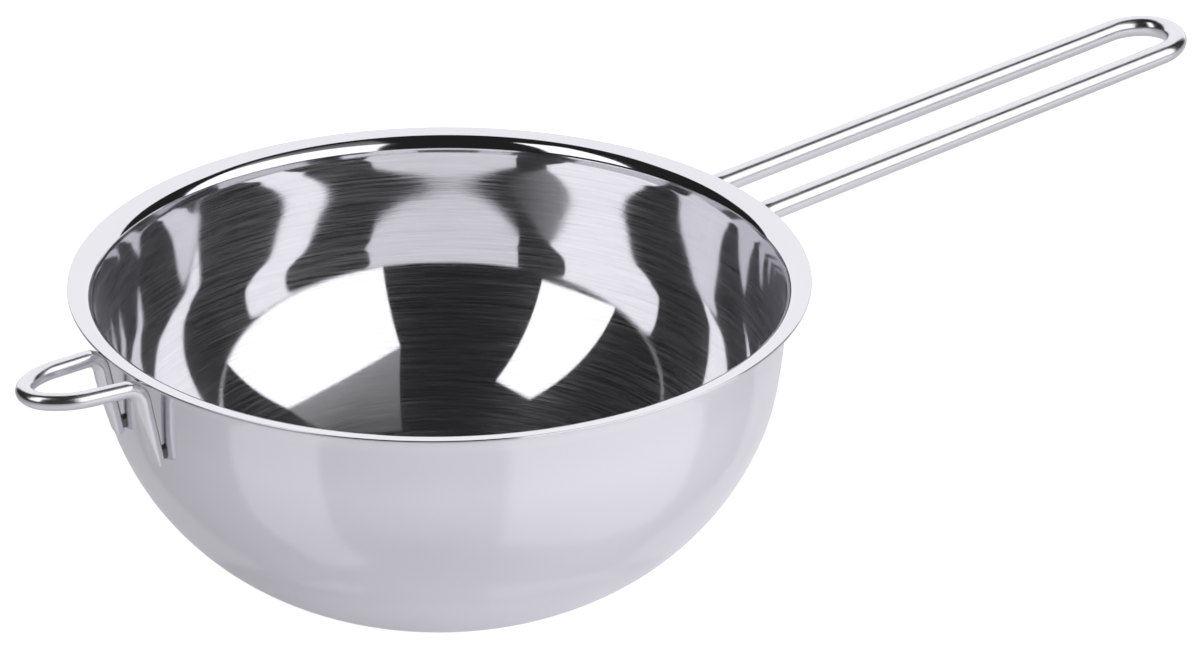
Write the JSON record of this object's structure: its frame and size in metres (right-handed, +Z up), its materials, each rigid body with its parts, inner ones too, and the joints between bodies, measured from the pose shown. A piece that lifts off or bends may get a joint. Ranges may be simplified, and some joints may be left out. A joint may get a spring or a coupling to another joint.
{
  "type": "double boiler insert bowl",
  "caption": "Deep round sheet-steel water-bath bowl with a flat lip, a long bent-wire loop handle and a small wire hook opposite that rests on a pot rim.",
  "frame": {"origin": "centre of the flat base's underside", "axes": "+Z up through the open mouth, +X along the handle away from the bowl, with the hook on -X"},
  "size_m": [0.3652, 0.1848, 0.093],
  "materials": {
    "bowl_steel": "drawn stainless sheet, fine brushing round the inside and satin polish outside",
    "wire_steel": "polished round stainless wire",
    "weld_metal": "resistance weld, slightly darkened by heat"
  },
  "bodies": {
    "root": {"bowl": "bowl_steel", "handle": "wire_steel", "hook": "wire_steel", "handle_welds": "weld_metal", "hook_welds": "weld_metal"}
  },
  "joints": []
}
